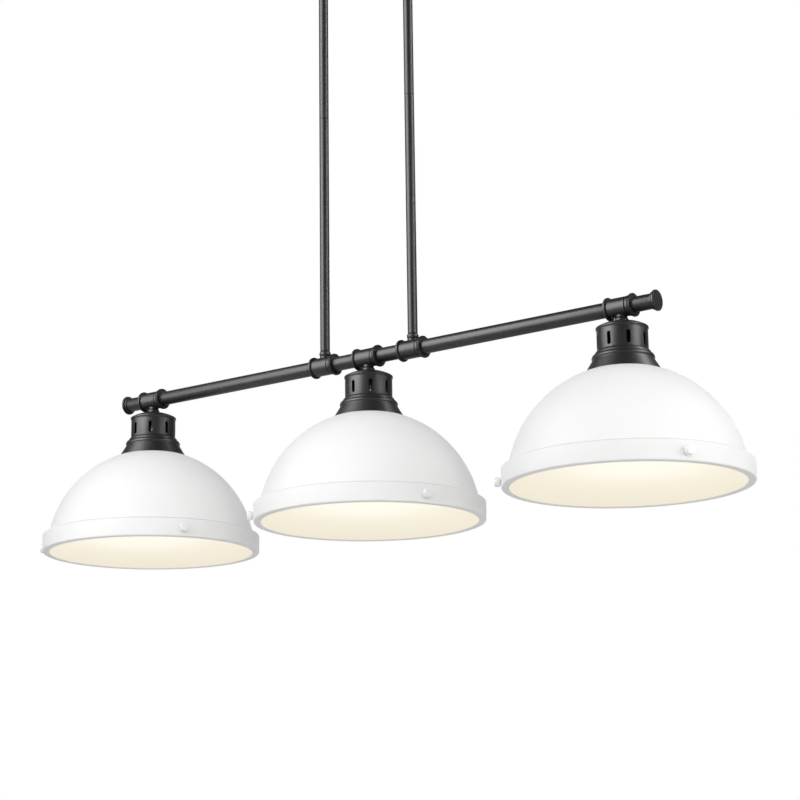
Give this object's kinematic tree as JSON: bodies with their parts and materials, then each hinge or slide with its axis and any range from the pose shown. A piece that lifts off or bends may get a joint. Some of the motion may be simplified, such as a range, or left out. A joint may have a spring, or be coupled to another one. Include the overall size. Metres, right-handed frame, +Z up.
{
  "type": "linear island pendant",
  "caption": "Ceiling light with white domed shades under a black bar, hung on two rods from a canopy.",
  "frame": {"origin": "middle of the mounting strap's top face, on the ceiling", "axes": "+Z up, +X along the bar, towards its right-hand end"},
  "size_m": [1.2744, 0.3704, 1.1142],
  "materials": {
    "black_paint": "satin black powder coat",
    "white_paint": "smooth satin white enamel",
    "frosted_glass": "acid-etched white glass",
    "bulb_white": "diffusing white globe",
    "holder_black": "moulded black phenolic",
    "zinc": "bright zinc plate",
    "seat_nylon": "moulded nylon",
    "earth_green": "green passivated screw",
    "brass": "plain pressed brass"
  },
  "bodies": {
    "ceiling_mount": {"mounting_strap": "zinc", "canopy": "black_paint", "strap_studs": "zinc", "stud_lock_nuts": "zinc", "canopy_cap_nuts": "black_paint", "swivel_seats": "seat_nylon", "earth_screw": "earth_green"},
    "hanger": {"swivel_ball_left": "black_paint", "swivel_ball_right": "black_paint", "rod_upper_left": "black_paint", "rod_upper_right": "black_paint", "rod_lower_left": "black_paint", "rod_lower_right": "black_paint", "rod_joint_nipples": "zinc", "rod_base_nipples": "zinc", "rod_beads": "black_paint", "bar_tube": "black_paint", "rod_tee_left": "black_paint", "rod_tee_right": "black_paint", "shade_tee_left": "black_paint", "shade_tee_middle": "black_paint", "shade_tee_right": "black_paint", "tee_lock_collars": "black_paint", "end_cap_left": "black_paint", "end_cap_right": "black_paint", "neck_beads": "black_paint", "stem_nipples": "zinc", "stem_lock_nuts": "zinc", "shade_ring_nuts": "holder_black", "socket_shells": "brass", "vent_cap_left": "black_paint", "shade_collar_left": "black_paint", "lampholder_left": "holder_black", "shade_left": "white_paint", "vent_cap_middle": "black_paint", "shade_collar_middle": "black_paint", "lampholder_middle": "holder_black", "shade_middle": "white_paint", "vent_cap_right": "black_paint", "shade_collar_right": "black_paint", "lampholder_right": "holder_black", "shade_right": "white_paint"},
    "ring_left": {"retaining_ring_left": "white_paint", "diffuser_left": "frosted_glass"},
    "bulb_left": {"bulb_left": "bulb_white"},
    "left_thumbscrew_front_right": {"left_thumbscrew_front_right": "white_paint"},
    "left_thumbscrew_back": {"left_thumbscrew_back": "white_paint"},
    "left_thumbscrew_front_left": {"left_thumbscrew_front_left": "white_paint"},
    "ring_middle": {"retaining_ring_middle": "white_paint", "diffuser_middle": "frosted_glass"},
    "bulb_middle": {"bulb_middle": "bulb_white"},
    "middle_thumbscrew_front_right": {"middle_thumbscrew_front_right": "white_paint"},
    "middle_thumbscrew_back": {"middle_thumbscrew_back": "white_paint"},
    "middle_thumbscrew_front_left": {"middle_thumbscrew_front_left": "white_paint"},
    "ring_right": {"retaining_ring_right": "white_paint", "diffuser_right": "frosted_glass"},
    "bulb_right": {"bulb_right": "bulb_white"},
    "right_thumbscrew_front_right": {"right_thumbscrew_front_right": "white_paint"},
    "right_thumbscrew_back": {"right_thumbscrew_back": "white_paint"},
    "right_thumbscrew_front_left": {"right_thumbscrew_front_left": "white_paint"}
  },
  "joints": [
    {"name": "hanger_swing", "type": "hinge", "parent": "ceiling_mount", "child": "hanger", "pos_m": [0, 0, -0.0215], "axis": [1, 0, 0], "range_deg": [-20, 20]},
    {"name": "ring_drop_left", "type": "slide", "parent": "hanger", "child": "ring_left", "axis": [0, 0, -1], "range_m": [0, 0.06]},
    {"name": "bulb_unscrew_left", "type": "slide", "parent": "hanger", "child": "bulb_left", "axis": [0, 0, -1], "range_m": [0, 0.025]},
    {"name": "left_thumbscrew_front_right_unscrew", "type": "slide", "parent": "ring_left", "child": "left_thumbscrew_front_right", "axis": [0.8572, -0.515, 0], "range_m": [0, 0.006]},
    {"name": "left_thumbscrew_back_unscrew", "type": "slide", "parent": "ring_left", "child": "left_thumbscrew_back", "axis": [0.0175, 0.9998, 0], "range_m": [0, 0.006]},
    {"name": "left_thumbscrew_front_left_unscrew", "type": "slide", "parent": "ring_left", "child": "left_thumbscrew_front_left", "axis": [-0.8746, -0.4848, 0], "range_m": [0, 0.006]},
    {"name": "ring_drop_middle", "type": "slide", "parent": "hanger", "child": "ring_middle", "axis": [0, 0, -1], "range_m": [0, 0.06]},
    {"name": "bulb_unscrew_middle", "type": "slide", "parent": "hanger", "child": "bulb_middle", "axis": [0, 0, -1], "range_m": [0, 0.025]},
    {"name": "middle_thumbscrew_front_right_unscrew", "type": "slide", "parent": "ring_middle", "child": "middle_thumbscrew_front_right", "axis": [0.8988, -0.4384, 0], "range_m": [0, 0.006]},
    {"name": "middle_thumbscrew_back_unscrew", "type": "slide", "parent": "ring_middle", "child": "middle_thumbscrew_back", "axis": [-0.0698, 0.9976, 0], "range_m": [0, 0.006]},
    {"name": "middle_thumbscrew_front_left_unscrew", "type": "slide", "parent": "ring_middle", "child": "middle_thumbscrew_front_left", "axis": [-0.829, -0.5592, 0], "range_m": [0, 0.006]},
    {"name": "ring_drop_right", "type": "slide", "parent": "hanger", "child": "ring_right", "axis": [0, 0, -1], "range_m": [0, 0.06]},
    {"name": "bulb_unscrew_right", "type": "slide", "parent": "hanger", "child": "bulb_right", "axis": [0, 0, -1], "range_m": [0, 0.025]},
    {"name": "right_thumbscrew_front_right_unscrew", "type": "slide", "parent": "ring_right", "child": "right_thumbscrew_front_right", "axis": [0.829, -0.5592, 0], "range_m": [0, 0.006]},
    {"name": "right_thumbscrew_back_unscrew", "type": "slide", "parent": "ring_right", "child": "right_thumbscrew_back", "axis": [0.0698, 0.9976, 0], "range_m": [0, 0.006]},
    {"name": "right_thumbscrew_front_left_unscrew", "type": "slide", "parent": "ring_right", "child": "right_thumbscrew_front_left", "axis": [-0.8988, -0.4384, 0], "range_m": [0, 0.006]}
  ]
}
